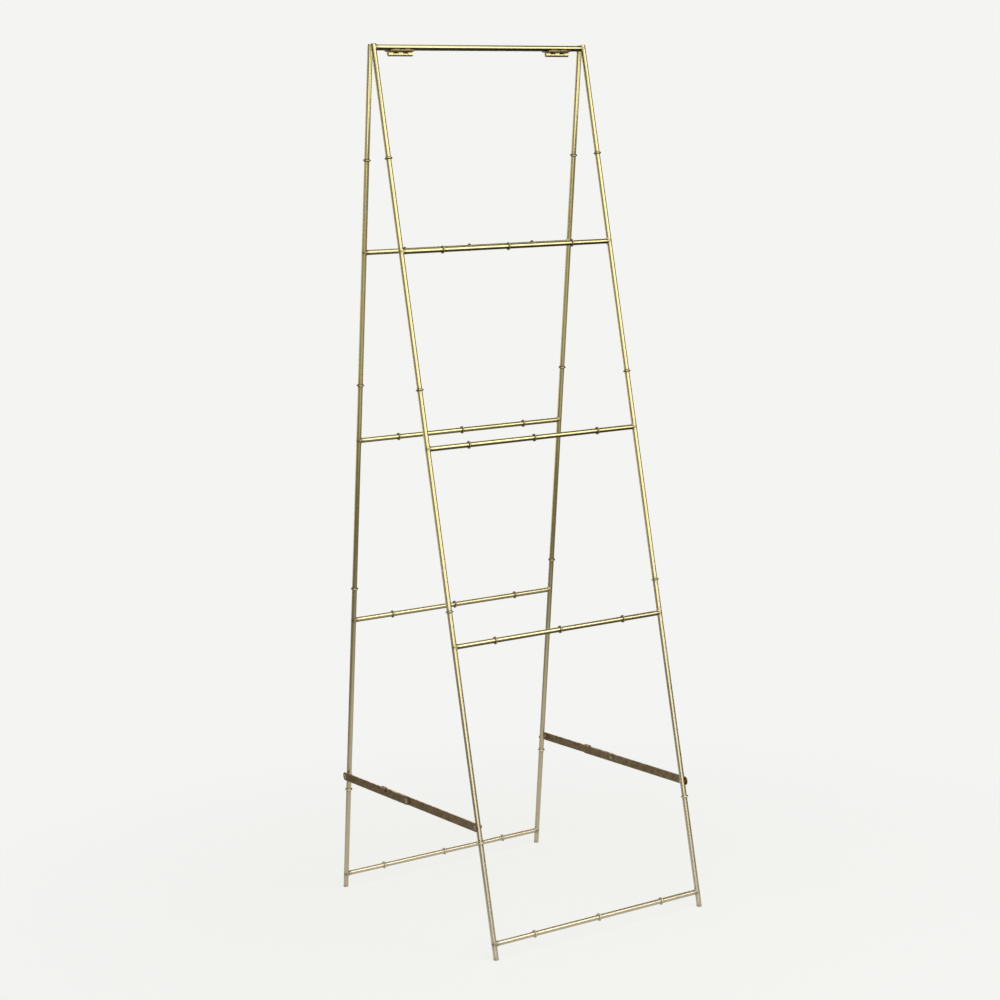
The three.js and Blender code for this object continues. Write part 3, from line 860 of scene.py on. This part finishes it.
def stop_tab(inner, thickness, bend_start, hook_out, rear_top, tab_start, tab_end):
    """The tab's section: up out of the bar, over the rear link and down its outer face."""
    neutral = STOP_BEND_RADIUS + thickness / 2
    first = (inner + thickness + STOP_BEND_RADIUS, bend_start)
    second = (hook_out - thickness - STOP_BEND_RADIUS, bend_start)
    path = [(inner + thickness / 2, bend_start, -1, 0)]
    for a in range(180, 89, -15):
        c, s = math.cos(math.radians(a)), math.sin(math.radians(a))
        path.append((first[0] + neutral * c, first[1] + neutral * s, c, s))
    for a in range(90, -1, -15):
        c, s = math.cos(math.radians(a)), math.sin(math.radians(a))
        path.append((second[0] + neutral * c, second[1] + neutral * s, c, s))
    tip = rear_top + STOP_CLEARANCE + thickness - STOP_HOOK_DROP
    path.append((hook_out - thickness / 2, tip, 1, 0))
    half = thickness / 2
    section = [(x + nx * half, z + nz * half) for x, z, nx, nz in path]
    section += [(x - nx * half, z - nz * half) for x, z, nx, nz in reversed(path)]
    rows = [[Vector((x, y, z)) for x, z in section] for y in (tab_start, tab_end)]
    return skin(rows, ends=True)


def rivet(node, side, shank_start, tail_face, head_face):
    """A domed rivet along X. Distances run outwards; a missing face leaves that end plain."""
    low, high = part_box(node)
    start, end = outward_range(side, low, high)
    middle = (low + high) / 2
    profile = [(0, start)]
    if tail_face is None:
        profile.append((RIVET_RADIUS, shank_start))
    else:
        radius, edge = RIVET_TAIL_RADIUS, RIVET_TAIL_EDGE
        profile.append((radius * 0.55, start))
        profile += arc((radius - edge, start + edge), edge, -70, 0, 4)
        profile += [(radius, tail_face), (RIVET_RADIUS, tail_face)]
    if head_face is not None:
        profile += [(RIVET_RADIUS, head_face)] + dome((high.z - low.z) / 2, head_face, end)
    else:
        profile += [(RIVET_RADIUS, end), (0, end)]
    shape = lathe(profile, SMALL_ROUND, loop=False).placed(ALONG_X)
    outwards = Matrix.Diagonal((side, 1, 1, 1))
    shape = shape.placed(outwards @ Matrix.Translation((0, middle.y, middle.z)))
    piece(f"{node}_domed", [shape], RIVET_STEEL, body_of(node), [node])


def washer(side_name):
    node = f"{side_name}_stay_spacer_washer"
    low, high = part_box(node)
    middle = (low + high) / 2
    radius, half = (high.z - low.z) / 2, (high.x - low.x) / 2
    edge = WASHER_EDGE
    profile = [(RIVET_RADIUS, -half)] + arc((radius - edge, -half + edge), edge, -90, 0, 4)
    profile += arc((radius - edge, half - edge), edge, 0, 90, 4) + [(RIVET_RADIUS, half)]
    shape = lathe(profile, SMALL_ROUND)
    shape = shape.placed(Matrix.Translation(middle) @ ALONG_X)
    piece(f"{node}_turned", [shape], RIVET_STEEL, body_of(node), [node])


# ---------------------------------------------------------------- assembly

def body_of(node):
    return frame["nodes"][node]["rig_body"]


for frame_name, sign in FRAMES:
    axes = frame_axes(sign)
    leg_x = node_middle(f"{frame_name}_right_leg", axes).x
    for side_name, _ in SIDES:
        leg(frame_name, side_name, axes)
        top_cap(frame_name, side_name, axes)
        foot_glide(frame_name, side_name, axes)
        for i in range(1, 5):
            leg_ring(f"{frame_name}_{side_name}_leg_ring_{i}", f"{frame_name}_frame", axes)
        hinge_leaf(side_name, frame_name, sign, axes)
        leaf_welds(side_name, frame_name, axes)
    for place_name in ("top", *HANGING):
        rail(frame_name, place_name, axes, leg_x)
    rail_welds(frame_name, axes, leg_x)

LINK_LOW, LINK_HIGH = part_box("left_stay_rear_link")
BRONZE = bronze("bronze_bar", (0.215, 0.15, 0.08), (0.34, 0.245, 0.135), (0.66, 0.53, 0.32),
                (LINK_HIGH.z + LINK_LOW.z) / 2, (LINK_HIGH.z - LINK_LOW.z) / 2)

for side_name, side in SIDES:
    hinge_pin(side_name)
    rear_link(side_name)
    front_link(side_name, side)
    washer(side_name)
    leg_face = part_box(f"front_{side_name}_leg")[0 if side > 0 else 1].x * side
    inner_face, outer_face = outward_range(side, *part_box(f"{side_name}_stay_rear_link"))
    inner_layer = outward_range(side, *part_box(f"{side_name}_stay_front_link"))[0]
    front_face = inner_layer + (outer_face - inner_face)
    stay = f"{side_name}_stay"
    rivet(f"{stay}_front_rivet", side, leg_face, leg_face, front_face)
    rivet(f"{stay}_back_rivet", side, leg_face, leg_face, outer_face)
    rivet(f"{stay}_elbow_rivet_head", side, inner_face, None, outer_face)
    rivet(f"{stay}_elbow_rivet_tail", side, inner_layer, inner_layer, None)


# ---------------------------------------------------------------- floor, light and camera

def softbox(name, place, target, size, radiance):
    """A soft light panel that the camera doesn't see, but the metal does."""
    light = bpy.data.lights.new(name, "AREA")
    light.shape = "RECTANGLE"
    light.size, light.size_y = size
    light.energy = radiance * math.pi * size[0] * size[1]
    made = bpy.data.objects.new(name, light)
    bpy.context.scene.collection.objects.link(made)
    made.visible_camera = False
    made.location = place
    made.rotation_euler = (Vector(target) - Vector(place)).to_track_quat("-Z", "Y").to_euler()


def pale_floor(colour, glow, mirrored_glow, radius, fade):
    """A round floor whose rim fades out, so that it has no edge and no horizon.

    glow is the share of its brightness that it gives off, which keeps shadows soft.
    mirrored_glow is what the metal sees of it."""
    bm = bmesh.new()
    bmesh.ops.create_circle(bm, cap_ends=True, segments=128, radius=radius)
    mesh = bpy.data.meshes.new("floor")
    bm.to_mesh(mesh)
    bm.free()
    material, nodes, links, principled = new_material("floor_paper")
    principled.inputs["Base Color"].default_value = (*(c * (1 - glow) for c in colour), 1)
    principled.inputs["Emission Color"].default_value = (*colour, 1)
    path = nodes.new("ShaderNodeLightPath")
    is_seen = path.outputs["Is Camera Ray"]
    given_off = map_range(nodes, links, is_seen, (0, 1), (mirrored_glow, glow))
    links.new(given_off, principled.inputs["Emission Strength"])
    principled.inputs["Roughness"].default_value = 1
    principled.inputs["Specular IOR Level"].default_value = 0
    coords = nodes.new("ShaderNodeTexCoord").outputs["Object"]
    length = nodes.new("ShaderNodeVectorMath")
    length.operation = "LENGTH"
    links.new(coords, length.inputs[0])
    solid = map_range(nodes, links, length.outputs["Value"], (radius - fade, radius), (1, 0))
    links.new(solid, principled.inputs["Alpha"])
    mesh.materials.append(material)
    floor = bpy.data.objects.new("floor", mesh)
    bpy.context.scene.collection.objects.link(floor)


def studio_world(seen, bands):
    """Plain pale surroundings where they are seen. Elsewhere a dim room, in bands by height.

    bands are (sine of the elevation, colour) from straight down to straight up."""
    world = bpy.data.worlds.new("studio")
    bpy.context.scene.world = world
    world.use_nodes = True
    nodes, links = world.node_tree.nodes, world.node_tree.links
    nodes.clear()
    direction = nodes.new("ShaderNodeTexCoord").outputs["Generated"]
    elevation = map_range(nodes, links, height_of(nodes, links, direction), (-1, 1), (0, 1))
    ramp = nodes.new("ShaderNodeValToRGB")
    links.new(elevation, ramp.inputs["Fac"])
    stops = ramp.color_ramp.elements
    for sine, colour in bands[1:-1]:
        stops.new((sine + 1) / 2)
    for stop, (sine, colour) in zip(stops, bands):
        stop.position = (sine + 1) / 2
        stop.color = (*colour, 1)
    room = nodes.new("ShaderNodeBackground")
    links.new(ramp.outputs["Color"], room.inputs["Color"])
    plain = nodes.new("ShaderNodeBackground")
    plain.inputs["Color"].default_value = (*seen, 1)
    path = nodes.new("ShaderNodeLightPath")
    mix = nodes.new("ShaderNodeMixShader")
    links.new(path.outputs["Is Camera Ray"], mix.inputs["Fac"])
    links.new(room.outputs["Background"], mix.inputs[1])
    links.new(plain.outputs["Background"], mix.inputs[2])
    output = nodes.new("ShaderNodeOutputWorld")
    links.new(mix.outputs["Shader"], output.inputs["Surface"])


def camera(place, yaw, pitch, roll, lens):
    """A camera turned left by yaw from +Y, tipped up by pitch and rolled, in degrees."""
    data = bpy.data.cameras.new("camera")
    data.sensor_width = 36
    data.lens = lens
    made = bpy.data.objects.new("camera", data)
    bpy.context.scene.collection.objects.link(made)
    turned = Matrix.Rotation(math.radians(yaw), 4, "Z")
    tipped = Matrix.Rotation(math.radians(90 + pitch), 4, "X")
    rolled = Matrix.Rotation(math.radians(roll), 4, "Z")
    made.matrix_world = Matrix.Translation(place) @ turned @ tipped @ rolled
    bpy.context.scene.camera = made


pale_floor((0.95, 0.95, 0.93), glow=0.8, mirrored_glow=0.42, radius=1.3, fade=0.8)
studio_world(seen=(0.905, 0.905, 0.888), bands=(
    (-1.0, (0.035, 0.029, 0.02)),
    (-0.6, (0.045, 0.038, 0.028)),
    (-0.38, (0.18, 0.166, 0.138)),
    (-0.12, (0.23, 0.214, 0.18)),
    (0.0, (0.05, 0.045, 0.035)),
    (0.4, (0.055, 0.05, 0.042)),
    (1.0, (0.22, 0.21, 0.18)),
))
softbox("key_softbox", (1.6, -2.9, 2.3), (0, 0, 1.0), (1.7, 3.2), 2.5)
softbox("front_panel", (-1.8, -4.3, 1.95), (0, 0, 1.1), (5.6, 3.8), 1.5)
softbox("front_floor_panel", (-0.6, -2.9, 0.02), (-0.6, -2.9, 1.0), (5.0, 2.4), 0.42)
softbox("back_panel", (1.6, 4.4, 2.0), (0, 0, 1.0), (3.4, 3.4), 1.3)
softbox("back_left_panel", (-2.1, 3.1, 1.2), (0, 0, 0.8), (1.8, 2.4), 1.1)
softbox("left_panel", (-4.0, 0.3, 1.5), (0, 0, 1.0), (2.2, 2.8), 0.45)
softbox("right_panel", (4.0, 0.5, 1.5), (0, 0, 1.0), (2.2, 2.8), 0.3)
softbox("top_softbox", (-0.4, -0.9, 3.3), (0, 0, 0), (2.8, 2.8), 1.2)
camera((-2.15615, -3.37763, 1.29889), yaw=-32.55, pitch=-7.4295, roll=-2.58, lens=76.767)
bpy.context.scene.view_settings.view_transform = "Standard"
